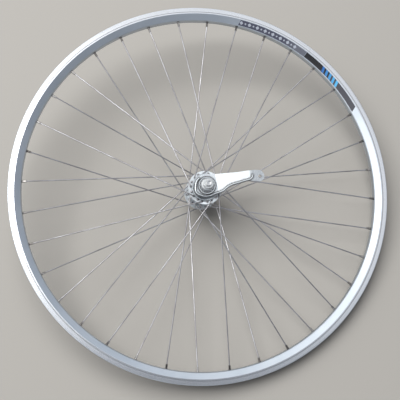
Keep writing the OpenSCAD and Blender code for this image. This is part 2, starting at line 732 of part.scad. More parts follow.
rim();
rim_joint_sleeve();
nipples();
spokes_arm_side_outer();
spokes_arm_side_inner();
spokes_drive_side_outer();
spokes_drive_side_inner();
hub_shell();
brake_drum_liner();
left_ball_cup();
right_ball_ring();
low_gear_ratchet();
axle();
sun_gear();
arm_cone();
arm_dust_cap();
brake_arm();
arm_toothed_washer();
arm_locknut();
left_axle_washer();
left_axle_nut();
drive_cone();
cone_lock_washer();
cone_spacer();
drive_locknut();
right_axle_washer();
right_axle_nut();
driver();
driver_dust_cap();
clutch();
thrust_ring();
axle_key();
selector_rod();
clutch_spring();
planet_carrier();
planet_pins();
planet_gear_1();
planet_gear_2();
planet_gear_3();
planet_gear_4();
ring_gear();
low_pawl_1();
low_pawl_2();
low_pawl_pins();
high_pawl_1();
high_pawl_2();
high_pawl_pins();
brake_cone();
brake_drag_spring();
brake_shoe_1();
brake_shoe_2();
brake_shoe_3();
brake_shoe_4();
left_ball_cage();
left_balls();
ring_ball_cage();
ring_balls();
cone_ball_cage();
cone_balls();
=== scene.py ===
# A bicycle wheel: alloy rim, wire spokes and a gear hub with a brake arm.
# The axle lies along Y through the origin. The brake arm is on the -Y side, the driver on +Y.
# Hub coordinates, used for the added pieces and the view, are in mm with z along the axle
# toward the brake arm, x to the right and y up.
import bmesh
import bpy
import math
from functools import cached_property
from mathutils import Matrix, Vector


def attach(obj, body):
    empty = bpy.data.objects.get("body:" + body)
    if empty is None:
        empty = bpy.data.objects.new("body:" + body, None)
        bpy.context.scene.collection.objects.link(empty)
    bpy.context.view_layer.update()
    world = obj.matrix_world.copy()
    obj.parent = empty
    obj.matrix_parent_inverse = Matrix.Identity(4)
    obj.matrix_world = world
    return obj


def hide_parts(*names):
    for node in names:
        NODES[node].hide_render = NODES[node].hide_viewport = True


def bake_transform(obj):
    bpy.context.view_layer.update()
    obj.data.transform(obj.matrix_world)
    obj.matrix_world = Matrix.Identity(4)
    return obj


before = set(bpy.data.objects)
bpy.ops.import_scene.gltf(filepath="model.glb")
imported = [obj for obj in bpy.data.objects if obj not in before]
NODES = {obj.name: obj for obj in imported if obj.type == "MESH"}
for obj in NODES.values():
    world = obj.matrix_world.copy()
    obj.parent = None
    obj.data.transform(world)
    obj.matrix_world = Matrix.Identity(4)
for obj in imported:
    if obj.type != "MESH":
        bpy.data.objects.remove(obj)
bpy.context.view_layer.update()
MM = 0.001

# Driving sizes, in mm and degrees
BRAKE_ARM_ANGLE = 10.3
# The rim's sloping wall on the arm side: radius and z at its foot, and its rise per mm outward
WALL_FOOT_R, WALL_FOOT_Z, WALL_SLOPE = 298.1, 6.3, 5.95 / 9.1
WALL_STRETCH = math.hypot(1, WALL_SLOPE)  # length along the wall per mm of radius
FOIL_INNER_R, FOIL_OUTER_R = 298.5, 306.5
FOIL_MID_R = (FOIL_INNER_R + FOIL_OUTER_R) / 2
FOIL_LIFT, FOIL_SINK = 0.10, 0.30  # foil's outer skin above the wall, hidden skin below it
FOIL_BEVEL, FOIL_BEVEL_WIDTH = 0.03, 0.12
FOIL_STEP = 0.4  # degrees per segment


# ------------------------------------------------------------------ shader node helpers
class Field:
    """One output of a node. Arithmetic on it adds Math nodes."""

    def __init__(self, net, socket):
        self.net, self.socket = net, socket

    def __add__(self, other):
        return self.net.math("ADD", self, other)

    def __radd__(self, other):
        return self.net.math("ADD", other, self)

    def __sub__(self, other):
        return self.net.math("SUBTRACT", self, other)

    def __rsub__(self, other):
        return self.net.math("SUBTRACT", other, self)

    def __mul__(self, other):
        return self.net.math("MULTIPLY", self, other)

    def __truediv__(self, other):
        return self.net.math("DIVIDE", self, other)

    def __abs__(self):
        return self.net.math("ABSOLUTE", self)


class NodeNet:
    """The emptied node tree of a material or a world."""

    spare_math_inputs = {}

    def __init__(self, owner):
        owner.use_nodes = True
        self.tree = owner.node_tree
        self.tree.nodes.clear()

    def put(self, socket, value):
        if isinstance(value, Field):
            self.tree.links.new(value.socket, socket)
        elif socket.type == "RGBA" and len(value) == 3:
            socket.default_value = (*value, 1.0)
        else:
            socket.default_value = value

    def node(self, kind, inputs=None, **settings):
        node = self.tree.nodes.new(kind)
        for key, value in settings.items():
            setattr(node, key, value)
        for key, value in (inputs or {}).items():
            self.put(node.inputs[key], value)
        return node

    def field(self, kind, inputs=None, output=0, **settings):
        return Field(self, self.node(kind, inputs, **settings).outputs[output])

    def math(self, operation, a, b=0.0, clamp=False):
        inputs = {0: a, 1: b, **self.spare_math_inputs}
        return self.field("ShaderNodeMath", inputs, operation=operation, use_clamp=clamp)

    def dot(self, vector, axis):
        return self.field("ShaderNodeVectorMath", {0: vector, 1: tuple(axis)}, "Value",
                          operation="DOT_PRODUCT")

    def ramp(self, value, lo, hi):
        """0 at lo, 1 at hi, smooth between. With lo above hi it falls."""
        return self.field("ShaderNodeMapRange", {0: value, 1: lo, 2: hi, 3: 0.0, 4: 1.0},
                          interpolation_type="SMOOTHSTEP", clamp=True)

    def mix(self, factor, under, over, strength=None):
        """Colour over on colour under, where factor, scaled by strength if given, is 1."""
        if strength is not None:
            factor = factor * strength
        return self.field("ShaderNodeMix", {0: factor, 6: under, 7: over}, 2, data_type="RGBA")

    def mix_numbers(self, factor, a, b):
        return self.field("ShaderNodeMix", {0: factor, 2: a, 3: b}, data_type="FLOAT")


class Look(NodeNet):
    """A procedural metal or paint in object coordinates (mm), with a Principled shader."""

    spare_math_inputs = {2: 0.0}

    def __init__(self, name):
        self.material = bpy.data.materials.new(name)
        super().__init__(self.material)
        self.shader = self.node("ShaderNodeBsdfPrincipled")
        self.node("ShaderNodeOutputMaterial", {0: Field(self, self.shader.outputs[0])})
        self.coordinates = self.node("ShaderNodeTexCoord")
        self.point = self.field("ShaderNodeVectorMath",
                                {0: Field(self, self.coordinates.outputs["Object"]),
                                 "Scale": 1 / MM}, operation="SCALE")
        self.height = None

    @cached_property
    def xyz(self):
        split = self.node("ShaderNodeSeparateXYZ", {0: self.point})
        return [Field(self, socket) for socket in split.outputs]

    x = property(lambda self: self.xyz[0])
    y = property(lambda self: self.xyz[1])
    z = property(lambda self: self.xyz[2])

    @cached_property
    def radius(self):
        """Distance from the axle's line."""
        return self.math("SQRT", self.x * self.x + self.z * self.z)

    @cached_property
    def angle(self):
        """Radians round the axle, counter-clockwise seen from the brake arm's side."""
        return self.math("ARCTAN2", self.z, self.x)

    @cached_property
    def facing(self):
        """1 on faces square to the axle, 0 on faces along it."""
        return abs(self.dot(Field(self, self.coordinates.outputs["Normal"]), (0.0, -1.0, 0.0)))

    def remap(self, value, lo, hi, to):
        return self.field("ShaderNodeMapRange", {0: value, 1: lo, 2: hi, 3: to[0], 4: to[1]},
                          clamp=True)

    def band(self, value, lo, hi, soft):
        """1 between lo and hi, with edges softened by soft to each side."""
        rise = self.ramp(value, lo - soft, lo + soft)
        return rise * (1.0 - self.ramp(value, hi - soft, hi + soft))

    def tones(self, value, dark, light, lo=0.3, hi=0.7):
        return self.mix(self.remap(value, lo, hi, to=(0.0, 1.0)), dark, light)

    def vector(self, x, y, z=0.0):
        return self.field("ShaderNodeCombineXYZ", {0: x, 1: y, 2: z})

    def noise(self, vector, scale, detail=3.0, rough=0.55, warp=0.0):
        return self.field("ShaderNodeTexNoise", {"Vector": vector, "Scale": scale,
                          "Detail": detail, "Roughness": rough, "Distortion": warp})

    def turned(self, pitch, per_radius=1.0, per_length=1.37, per_turn=0.6, strength=1.0):
        """Fine tool marks that run round the axle, on faces and on barrels."""
        across = self.radius * per_radius + self.y * per_length
        marks = self.noise(self.vector(across, self.angle * per_turn),
                           scale=1.0 / pitch, rough=0.6)
        return marks * strength

    def crevice(self, reach, lo, hi):
        """1 in corners and at the foot of a step, 0 in the open, within reach mm."""
        openness = self.field("ShaderNodeAmbientOcclusion", {"Distance": reach * MM}, "AO",
                              samples=6)
        return 1.0 - self.ramp(openness, lo, hi)

    def relief(self, pattern, depth=None):
        """Adds a pattern to the bump height. A negative depth sinks it."""
        if depth is not None:
            pattern = pattern * depth
        self.height = pattern if self.height is None else self.height + pattern

    def bump(self, strength, distance):
        """Applies the gathered height, with distance in mm."""
        self.surface(normal=self.field("ShaderNodeBump", {
            "Strength": strength, "Distance": distance * MM, "Height": self.height}))

    def brush_round_axle(self, amount):
        """Stretches highlights as brushing round the axle does."""
        tangent = self.field("ShaderNodeTangent", direction_type="RADIAL", axis="Y")
        self.surface(tangent=tangent, anisotropic=amount)

    def surface(self, **inputs):
        """Sets Principled inputs, as in base_color for Base Color."""
        for key, value in inputs.items():
            self.put(self.shader.inputs[key.replace("_", " ").title()], value)


def assign(material, *pieces):
    for piece in pieces:
        slots = NODES[piece].data.materials
        slots.clear()
        slots.append(material)


# ------------------------------------------------------------------ turned and ground metal
def steel(name, base, grime_and_shade_colour, rough, pitch, marks, grime_and_shade, spots=0.0, aniso=0.35):
    """Tool marks, handling scratches, dull dirty patches, and painted shade in corners."""
    look = Look(name)
    cloud = look.noise(look.point, scale=0.09, detail=4.0, rough=0.6, warp=0.4)
    fine = look.noise(look.point, scale=1.3, detail=5.0, rough=0.6)
    colour = look.tones(cloud, dark=tuple(c * 0.86 for c in base),
                        light=tuple(min(1.0, c * 1.08 + 0.01) for c in base), lo=0.3, hi=0.75)

    patches = look.noise(look.point, scale=0.22, detail=6.0, rough=0.7, warp=0.8)
    darkening = look.ramp(patches, lo=0.56 - 0.1 * grime_and_shade, hi=0.86) * grime_and_shade
    colour = look.mix(darkening, colour, over=grime_and_shade_colour)
    # Painted shade: corners and the feet of steps, found by ambient occlusion, darkened toward
    # the same colour as the dirty patches
    corner_shade = look.crevice(reach=1.2, lo=0.45, hi=0.85) * (0.35 + 0.5 * grime_and_shade)
    colour = look.mix(corner_shade, colour, over=grime_and_shade_colour)
    if spots:
        specks = look.noise(look.point, scale=2.1, detail=2.0, rough=0.4)
        colour = look.mix(look.ramp(specks, lo=0.66, hi=0.74), colour,
                          over=(0.10, 0.09, 0.08), strength=spots)

    rings = look.turned(pitch)
    stretched = look.vector(look.x * 0.25, look.y * 3.0, look.z * 2.0)  # long along x
    streaks = look.noise(stretched, scale=1.6, detail=2.0, rough=0.5, warp=0.2)
    scratches = look.band(streaks, lo=0.495, hi=0.505, soft=0.006) * 0.6  # faint
    look.relief(rings, depth=marks)
    look.relief(fine, depth=0.25)
    look.relief(scratches, depth=-0.35)

    dulling = look.math("MAXIMUM", darkening, corner_shade) * 0.3  # the dirty patches and the painted corner shade are rougher
    roughness = look.remap(fine, lo=0.25, hi=0.8, to=(rough - 0.07, rough + 0.10)) + dulling
    roughness = roughness + look.remap(rings, lo=0.3, hi=0.7, to=(-0.04, 0.05))
    look.surface(base_color=colour, roughness=roughness, metallic=1.0)
    look.bump(strength=0.35, distance=0.05)
    if aniso:
        look.brush_round_axle(aniso)
    return look.material


# ------------------------------------------------------------------ rim
def rim_material():
    look = Look("rim_alloy_anodised")
    side = abs(look.y)
    track = (look.ramp(side, lo=12.05, hi=12.2)
             * look.band(look.radius, lo=307.35, hi=317.4, soft=0.12))

    # Anodised walls: faint draw lines that run round the rim, and cloudy variation
    along_rim = look.vector(look.radius * 2.2, look.angle * 2.5, look.y * 2.2)
    draw = look.noise(along_rim, scale=1.0, detail=4.0, rough=0.6)
    cloud = look.noise(look.point, scale=0.018)
    walls = look.tones(cloud, dark=(0.565, 0.625, 0.690), light=(0.650, 0.705, 0.765))
    walls = look.mix(look.ramp(draw, lo=0.55, hi=0.8), walls, over=(0.45, 0.47, 0.50),
                     strength=0.18)
    wall_rough = look.remap(draw, lo=0.25, hi=0.8, to=(0.30, 0.44))

    # Machined brake track: fine rings and a few deeper scores
    rings = look.noise(look.vector(look.radius, look.angle * 0.35, 3.0), scale=7.0, rough=0.65)
    coarse = look.noise(look.vector(look.radius, look.angle * 1.2, 9.0),
                        scale=2.2, detail=2.0, rough=0.5)
    machined = look.tones(rings, dark=(0.625, 0.645, 0.675), light=(0.805, 0.83, 0.865))
    score = look.ramp(coarse, lo=0.63, hi=0.72) * 0.45
    machined = look.mix(score, machined, over=(0.36, 0.37, 0.39))
    track_rough = look.remap(rings, lo=0.25, hi=0.75, to=(0.12, 0.24))

    # A darker line in the wear groove, and painted shade on the rim bed
    groove = (look.band(look.radius, lo=309.2, hi=310.25, soft=0.12)
              * look.ramp(side, lo=11.5, hi=11.9))
    bed_shade = 1.0 - look.ramp(look.radius, lo=296.9, hi=298.2)
    colour = look.mix(track, walls, machined)
    colour = look.mix(groove, colour, over=(0.20, 0.20, 0.21), strength=0.70)
    # Painted shade: the rim bed darker
    colour = look.mix(bed_shade, colour, over=(0.40, 0.43, 0.47), strength=0.35)

    # Handling smudges and small nicks
    smears = look.noise(look.point, scale=0.035, detail=6.0, rough=0.7, warp=1.2)
    smudge = look.ramp(smears, lo=0.58, hi=0.85)
    colour = look.mix(smudge, colour, over=(0.42, 0.42, 0.43), strength=0.16)
    specks = look.noise(look.point, scale=0.9, detail=2.0, rough=0.4)
    look.relief(track * rings, depth=1.0)
    look.relief(score, depth=-0.8)
    look.relief((1.0 - track) * draw, depth=0.45)
    look.relief(look.ramp(specks, lo=0.70, hi=0.76), depth=-0.5)

    smudge_rough = smudge * 0.10
    roughness = look.mix_numbers(track, wall_rough, track_rough) + smudge_rough
    look.surface(base_color=colour, roughness=roughness, metallic=1.0)
    look.bump(strength=0.30, distance=0.06)
    look.brush_round_axle(track * 0.45 + 0.25)  # strongest on the track
    return look.material


# ------------------------------------------------------------------ spokes and nipples
def wire_material():
    look = Look("stainless_wire")
    cloud = look.noise(look.point, scale=0.03, rough=0.5)
    fine = look.noise(look.point, scale=2.5, rough=0.6)
    colour = look.tones(cloud, dark=(0.30, 0.29, 0.30), light=(0.50, 0.50, 0.52))
    near_hub = 1.0 - look.ramp(look.radius, lo=26, hi=60)
    colour = look.mix(near_hub, colour, over=(0.22, 0.21, 0.20), strength=0.25)
    look.relief(fine)
    look.surface(base_color=colour, metallic=1.0,
                 roughness=look.remap(fine, lo=0.3, hi=0.7, to=(0.12, 0.17)))
    look.bump(strength=0.06, distance=0.02)
    return look.material


def nipple_material():
    look = Look("nickel_plated_brass")
    cloud = look.noise(look.point, scale=0.7, detail=4.0, rough=0.6)
    fine = look.noise(look.point, scale=4.0, rough=0.6)
    tarnish = look.ramp(look.noise(look.point, scale=0.06, detail=2.0, rough=0.5),
                        lo=0.34, hi=0.56)
    colour = look.tones(cloud, dark=(0.26, 0.25, 0.25), light=(0.52, 0.51, 0.50))
    colour = look.mix(tarnish, colour, over=(0.085, 0.075, 0.07), strength=0.80)
    look.relief(fine)
    look.surface(base_color=colour, metallic=1.0,
                 roughness=look.remap(fine, lo=0.3, hi=0.7, to=(0.18, 0.34)))
    look.bump(strength=0.3, distance=0.03)
    return look.material


# ------------------------------------------------------------------ hub shell and brake arm
def shell_material():
    look = Look("hub_shell_satin_plate")
    cloud = look.noise(look.point, scale=0.07, detail=4.0, rough=0.6, warp=0.5)
    colour = look.tones(cloud, dark=(0.60, 0.64, 0.67), light=(0.72, 0.76, 0.79))
    rings = look.turned(pitch=0.22)

    # Painted shade: darker in patches at the flanges' foot and round the spoke holes, and in
    # corners
    patches = look.ramp(look.noise(look.point, scale=0.2, detail=6.0, rough=0.7, warp=0.8),
                        lo=0.55, hi=0.82)
    hole_ring = look.band(look.radius, lo=22.5, hi=25.4, soft=0.4) * 0.35
    flange_foot = look.band(look.radius, lo=20.0, hi=23.0, soft=0.8) + hole_ring
    flange_shade = look.math("MULTIPLY", patches, flange_foot, clamp=True) * 0.5
    shell_corner_shade = look.crevice(reach=2.0, lo=0.40, hi=0.85) * 0.85
    darkening = look.math("MAXIMUM", flange_shade, shell_corner_shade)
    # Painted shade: the shell goes toward near black under this mask
    colour = look.mix(darkening, colour, over=(0.10, 0.095, 0.09))
    spot = look.ramp(look.noise(look.point, scale=1.1, rough=0.5), lo=0.66, hi=0.74)
    colour = look.mix(spot, colour, over=(0.30, 0.30, 0.31), strength=0.35)

    look.relief(rings, depth=0.6)
    look.relief(look.noise(look.point, scale=1.8, detail=4.0, rough=0.6), depth=0.3)
    darkening_rough = darkening * 0.3
    roughness = look.remap(rings, lo=0.3, hi=0.7, to=(0.26, 0.38)) + darkening_rough
    look.surface(base_color=colour, roughness=roughness, metallic=1.0)
    look.bump(strength=0.35, distance=0.05)
    look.brush_round_axle(0.45)
    return look.material


def arm_material():
    """Pressed sheet steel with zinc plate: spangle and draw marks, with painted shade at the
    clip end, on steep faces and at the feet of steps.
    """
    look = Look("pressed_zinc_plate")
    turn = math.radians(BRAKE_ARM_ANGLE)
    along = look.x * math.cos(turn) + look.z * math.sin(turn)
    across = look.z * math.cos(turn) - look.x * math.sin(turn)
    cells = look.field("ShaderNodeTexVoronoi", {"Vector": look.vector(along, across, look.y),
                       "Scale": 0.55, "Randomness": 1.0}, "Color")
    spangle_gain = 1.0
    spangle = look.field("ShaderNodeSeparateColor", {0: cells}) * spangle_gain
    colour = look.mix(spangle, (0.640, 0.680, 0.705), over=(0.690, 0.730, 0.755))
    cloud = look.noise(look.point, scale=0.08, detail=5.0, rough=0.65, warp=0.6)
    colour = look.mix(look.ramp(cloud, lo=0.55, hi=0.85), colour, over=(0.46, 0.48, 0.50),
                      strength=0.22)

    stretched = look.vector(along * 0.12, across * 2.2)  # lines run along the arm
    draw = look.noise(stretched, scale=1.2, detail=4.0, rough=0.6)
    look.relief(draw, depth=0.5)
    look.relief(spangle, depth=0.05)
    look.relief(look.noise(look.point, scale=1.5, detail=4.0, rough=0.6), depth=0.15)
    pit = look.ramp(look.noise(look.point, scale=1.7, detail=2.0, rough=0.4), lo=0.68, hi=0.74)
    colour = look.mix(pit, colour, over=(0.34, 0.33, 0.32), strength=0.2)
    look.relief(pit, depth=-0.4)

    # Painted shade: the clip end is painted darker, and steep faces and the feet of steps near
    # black
    steep = (1.0 - look.ramp(look.facing, lo=0.62, hi=0.95)) * 0.95
    foot = look.math("MAXIMUM", look.crevice(reach=3.4, lo=0.80, hi=0.985), steep)
    # Painted shade: the clip end darker
    colour = look.mix(look.ramp(along, lo=73.5, hi=77.5), colour, over=(0.36, 0.38, 0.40),
                      strength=0.55)
    # Painted shade: steep faces and the feet of steps toward near black
    colour = look.mix(foot, colour, over=(0.022, 0.020, 0.024), strength=0.96)
    spangle_rough, foot_rough, foot_metal_loss = spangle * 0.04, foot * 0.4, foot * 0.7
    roughness = look.remap(draw, lo=0.3, hi=0.7, to=(0.17, 0.27)) + spangle_rough
    look.surface(base_color=colour, roughness=roughness + foot_rough,
                 metallic=1.0 - foot_metal_loss)
    look.bump(strength=0.25, distance=0.05)
    return look.material


# ------------------------------------------------------------------ materials on the CAD pieces
# Colours of dust and oil, also used for the painted shade in corners
DUST_AND_SHADE = (0.16, 0.15, 0.14)
OIL_AND_SHADE = (0.16, 0.12, 0.08)
THIN_OIL_AND_SHADE = (0.18, 0.14, 0.10)
# Material, base colour, colour of dirty patches and of painted corner shade,
# (roughness, pitch of the tool marks in mm, their depth, amount of dirty patches and painted
# corner shade), other settings, pieces
STEELS = (
    ("joint_sleeve_mill_finish", (0.66, 0.67, 0.69), DUST_AND_SHADE,
     (0.42, 0.8, 0.4, 0.2), {"aniso": 0.0}, "rim_joint_sleeve"),
    ("zinc_turned", (0.60, 0.63, 0.65), DUST_AND_SHADE,
     (0.28, 0.25, 0.6, 0.30), {}, "arm_cone drive_cone arm_locknut drive_locknut cone_spacer"),
    ("zinc_nut", (0.63, 0.65, 0.66), DUST_AND_SHADE,
     (0.26, 0.35, 0.4, 0.25), {"spots": 0.25, "aniso": 0.15}, "left_axle_nut right_axle_nut"),
    ("zinc_washer", (0.58, 0.60, 0.62), DUST_AND_SHADE,
     (0.34, 0.2, 0.5, 0.35), {"aniso": 0.3},
     "left_axle_washer right_axle_washer arm_toothed_washer cone_lock_washer"),
    ("dust_cap_plate", (0.50, 0.53, 0.56), DUST_AND_SHADE,
     (0.26, 0.3, 0.4, 0.30), {}, "arm_dust_cap driver_dust_cap"),
    ("blackened_driver", (0.23, 0.235, 0.245), (0.08, 0.07, 0.06),
     (0.36, 0.3, 0.5, 0.45), {}, "driver"),
    ("oiled_gear_steel", (0.44, 0.44, 0.45), OIL_AND_SHADE,
     (0.24, 0.35, 0.4, 0.5), {},
     "sun_gear planet_gear_1 planet_gear_2 planet_gear_3 planet_gear_4 ring_gear"
     " planet_carrier"),
    ("ground_hard_steel", (0.55, 0.55, 0.56), THIN_OIL_AND_SHADE,
     (0.18, 0.2, 0.35, 0.3), {},
     "planet_pins clutch thrust_ring axle_key selector_rod low_pawl_pins high_pawl_pins"),
    ("hardened_blue_steel", (0.30, 0.32, 0.37), (0.12, 0.09, 0.06),
     (0.26, 0.3, 0.35, 0.4), {},
     "low_pawl_1 low_pawl_2 high_pawl_1 high_pawl_2 clutch_spring brake_drag_spring"),
    ("cast_drum_steel", (0.36, 0.35, 0.34), (0.12, 0.08, 0.05),
     (0.40, 0.5, 0.9, 0.5), {}, "brake_drum_liner brake_cone"),
    ("race_steel", (0.50, 0.51, 0.53), OIL_AND_SHADE,
     (0.20, 0.25, 0.5, 0.35), {}, "left_ball_cup right_ball_ring low_gear_ratchet"),
    ("phosphor_bronze", (0.55, 0.36, 0.17), (0.12, 0.08, 0.04),
     (0.36, 0.4, 0.6, 0.5), {}, "brake_shoe_1 brake_shoe_2 brake_shoe_3 brake_shoe_4"),
    ("cage_sheet_brass", (0.62, 0.47, 0.22), (0.14, 0.09, 0.04),
     (0.30, 0.3, 0.3, 0.4), {}, "left_ball_cage ring_ball_cage cone_ball_cage"),
    ("polished_balls", (0.66, 0.67, 0.69), DUST_AND_SHADE,
     (0.10, 0.6, 0.1, 0.15), {"aniso": 0.0}, "left_balls ring_balls cone_balls"),
    ("axle_steel", (0.52, 0.53, 0.54), DUST_AND_SHADE,
     (0.28, 0.2, 0.5, 0.35), {}, "axle"),
)

assign(rim_material(), "rim")
assign(wire_material(), "spokes_arm_side_outer", "spokes_arm_side_inner",
       "spokes_drive_side_outer", "spokes_drive_side_inner")
assign(nipple_material(), "nipples")
assign(shell_material(), "hub_shell")
assign(arm_material(), "brake_arm")
for name, base, grime_and_shade_colour, finish, others, pieces in STEELS:
    assign(steel(name, base, grime_and_shade_colour, *finish, **others), *pieces.split())


# ------------------------------------------------------------------ mesh helpers
def from_hub(x, y, z):
    """Hub coordinates in mm to the part's frame in metres."""
    return Vector((x, -z, y)) * MM


def bridge(bm, ring, next_ring):
    """A closed band of quads between two rings of as many vertices."""
    count = len(ring)
    for i in range(count):
        k = (i + 1) % count
        bm.faces.new((ring[i], ring[k], next_ring[k], next_ring[i]))


def link_object(name, mesh):
    piece = bpy.data.objects.new(name, mesh)
    bpy.context.scene.collection.objects.link(piece)
    return piece


def mesh_object(name, bm):
    mesh = bpy.data.meshes.new(name)
    bm.to_mesh(mesh)
    bm.free()
    return link_object(name, mesh)


def new_piece(name, bm, material, body):
    bmesh.ops.remove_doubles(bm, verts=bm.verts, dist=1e-8)
    bmesh.ops.recalc_face_normals(bm, faces=bm.faces)
    piece = mesh_object(name, bm)
    mesh = piece.data
    mesh.materials.append(material)
    for face in mesh.polygons:
        face.use_smooth = True
    mesh.set_sharp_from_angle(angle=math.radians(32))
    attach(piece, body)
    return piece


# ------------------------------------------------------------------ printed foils on the rim
def wall_foil(name, material, start, end, start_skew, end_skew):
    """A thin foil on the sloping wall, from start to end degrees.

    A skew is how many degrees that end has moved on at the foil's outer radius.
    """
    # Cross-section: radius, height off the wall
    section = (
        (FOIL_INNER_R, -FOIL_SINK),
        (FOIL_INNER_R, FOIL_LIFT - FOIL_BEVEL),
        (FOIL_INNER_R + FOIL_BEVEL_WIDTH, FOIL_LIFT),
        (FOIL_MID_R, FOIL_LIFT),
        (FOIL_OUTER_R - FOIL_BEVEL_WIDTH, FOIL_LIFT),
        (FOIL_OUTER_R, FOIL_LIFT - FOIL_BEVEL),
        (FOIL_OUTER_R, -FOIL_SINK),
    )
    normal_r, normal_z = -WALL_SLOPE / WALL_STRETCH, 1 / WALL_STRETCH
    bm = bmesh.new()
    segments = int((end - start) / FOIL_STEP)
    rings = []
    for k in range(segments + 1):
        ring = []
        for radius, height in section:
            outward = (radius - FOIL_INNER_R) / (FOIL_OUTER_R - FOIL_INNER_R)
            first = start + start_skew * outward
            last = end + end_skew * outward
            angle = math.radians(first + (last - first) * (k / segments))
            r = radius + normal_r * height
            z = WALL_FOOT_Z + (radius - WALL_FOOT_R) * WALL_SLOPE + normal_z * height
            ring.append(bm.verts.new(from_hub(r * math.cos(angle), r * math.sin(angle), z)))
        rings.append(ring)
    for ring, next_ring in zip(rings, rings[1:]):
        bridge(bm, ring, next_ring)
    bm.faces.new(rings[0])
    bm.faces.new(list(reversed(rings[-1])))
    return new_piece(name, bm, material, "wheel")


def foil_look(name):
    """A look, the angle in degrees and the distance in mm from the foil's middle line."""
    look = Look(name)
    return look, look.angle * (180 / math.pi), (look.radius - FOIL_MID_R) * WALL_STRETCH


def finish_foil(look, colour, rough, metallic, coat):
    """Worn patches and a clear coat. rough is the roughness where whole and where worn."""
    patches = look.noise(look.point, scale=0.5, detail=6.0, rough=0.7, warp=0.6)
    wear = look.ramp(patches, lo=0.60, hi=0.75)
    look.relief(look.noise(look.point, scale=3.0, rough=0.6))
    look.bump(strength=0.15, distance=0.02)
    look.surface(base_color=look.mix(wear, colour, over=(0.42, 0.43, 0.45), strength=0.30),
                 roughness=look.remap(wear, lo=0, hi=1, to=rough),
                 metallic=metallic, coat_weight=coat, coat_roughness=0.2)
    return look.material


def dark_foil():
    """Near black, with a run of slanted blue bars."""
    bars_start, bar_pitch, slant = 38.3, 8.4, -0.45  # degrees, mm, mm along per mm across
    look, degrees, across = foil_look("dark_printed_foil")
    base = look.mix(look.ramp(degrees, lo=42.0, hi=43.0), (0.050, 0.050, 0.066),
                    over=(0.008, 0.008, 0.010))
    along = (degrees - bars_start) * (FOIL_MID_R * math.pi / 180) + across * slant
    cell = look.math("FRACT", along / bar_pitch)
    bars = (look.band(cell, lo=0.08, hi=0.66, soft=0.02)
            * look.band(along, lo=0.3, hi=41.9, soft=0.05))
    bars = bars * look.band(across, lo=-4.5, hi=4.5, soft=0.06)
    blue = look.tones(along, dark=(0.10, 0.52, 0.90), light=(0.01, 0.10, 0.42),
                      lo=0.0, hi=42.0)
    colour = look.mix(bars, base, blue)
    return finish_foil(look, colour, rough=(0.30, 0.5), metallic=0.0, coat=0.4)


def grey_foil():
    """Grey, with a row of solid diamonds, large and small in turn."""
    row_start, row_radius, pitch = 56.6, 301.7, 7.3  # degrees, mm, mm
    look, degrees, across = foil_look("grey_printed_foil")
    mottle = look.mix(look.noise(look.point, scale=0.08, rough=0.5), (0.150, 0.160, 0.195),
                      over=(0.200, 0.210, 0.250))
    base = look.mix(look.ramp(degrees, lo=56.0, hi=62.0), mottle, over=(0.100, 0.105, 0.150))
    along = (degrees - row_start) * (row_radius * math.pi / 180) / pitch
    odd = look.math("MODULO", look.math("FLOOR", along), 2.0)
    from_centre = (look.math("FRACT", along) - 0.5) * pitch
    apart = abs(from_centre) + abs(across)
    diamonds = look.mix_numbers(odd, look.band(apart, lo=-1.0, hi=3.4, soft=0.08),
                                look.band(apart, lo=-1.0, hi=1.9, soft=0.08))
    diamonds = diamonds * look.band(along, lo=0.0, hi=15.0, soft=0.02)
    colour = look.mix(diamonds, base, over=(0.56, 0.60, 0.68))
    return finish_foil(look, colour, rough=(0.28, 0.5), metallic=0.35, coat=0.3)


wall_foil("rim_foil_dark", dark_foil(), start=28.2, end=53.0, start_skew=0.9, end_skew=0.0)
wall_foil("rim_foil_grey", grey_foil(), start=53.1, end=77.6, start_skew=0.0, end_skew=-0.5)

# ------------------------------------------------------------------ threaded axle
AXLE_HALF = 76.0
THREAD_PITCH, THREAD_CREST, THREAD_ROOT = 1.058, 4.97, 4.42
THREAD_FLANK = (THREAD_CREST + THREAD_ROOT) / 2
THREAD_PROFILE = (THREAD_CREST, THREAD_CREST, THREAD_FLANK,
                  THREAD_ROOT, THREAD_ROOT, THREAD_FLANK)  # radii over one pitch
PLAIN_R, PLAIN_HALF = 4.96, 38.0  # the unthreaded middle
RUNOUT = 1.0  # length over which the thread fades in
CHAMFER, TIP_R = 0.7, 4.3
AXLE_COLUMNS = 56
START_BEYOND, ROWS_BEYOND = 1.1, 1.2  # the helix overruns both ends and is clamped there
HOLLOW_RATIO, HOLLOW_DEPTH = 0.45, 0.8  # conical hollow in the arm-side end
# Bore in the drive-side end: radius, distance from the axle's middle
BORE = ((2.5, AXLE_HALF), (2.2, AXLE_HALF - 0.3), (2.2, 26.0), (2.2, 18.0), (2.2, 15.0))
SLOT_SIZE, SLOT_Z = (12, 3.2, 6.4), -22.2  # the key's slot, through the axle along x


def axle_radius(profile_row, z):
    from_middle = abs(z)
    radius = THREAD_PROFILE[profile_row]
    if from_middle < PLAIN_HALF:
        radius = PLAIN_R
    elif from_middle < PLAIN_HALF + RUNOUT:
        radius = PLAIN_R + (radius - PLAIN_R) * (from_middle - PLAIN_HALF) / RUNOUT
    if from_middle > AXLE_HALF - CHAMFER:
        radius = min(radius, TIP_R + (AXLE_HALF - from_middle))
    return radius


